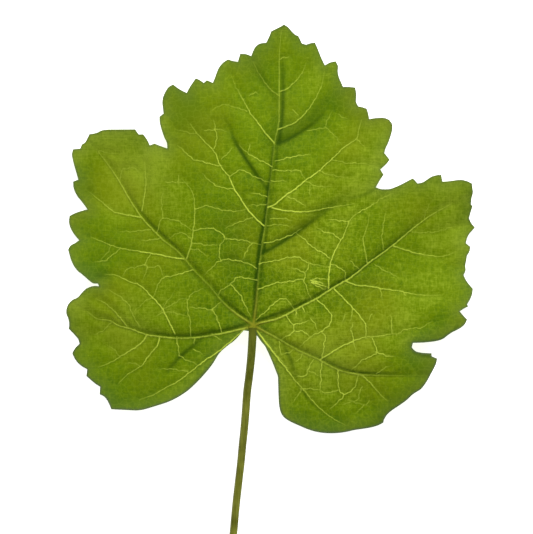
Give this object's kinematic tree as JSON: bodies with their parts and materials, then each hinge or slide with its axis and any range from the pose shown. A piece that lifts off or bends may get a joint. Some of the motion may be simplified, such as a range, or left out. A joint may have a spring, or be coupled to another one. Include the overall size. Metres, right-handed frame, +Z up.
{
  "type": "grape leaf",
  "caption": "Lobed green leaf with a toothed margin, ribs raised on its underside and a long thin stalk, lying face up on the tips of its lobes.",
  "frame": {"origin": "on the surface it lies on, under the middle of the box of the whole leaf with its stalk", "axes": "+Z up, out of the leaf's upper face; +Y from the stalk's cut end to the leaf's tip; +X to the right of a viewer who looks down on it with the tip away"},
  "size_m": [0.1498, 0.2056, 0.0096],
  "materials": {
    "leaf_blade": "fresh leaf, satin, finely netted",
    "petiole": "green stalk, satin, faintly ridged"
  },
  "bodies": {
    "root": {"leaf_blade": "leaf_blade", "petiole": "petiole"}
  },
  "joints": []
}
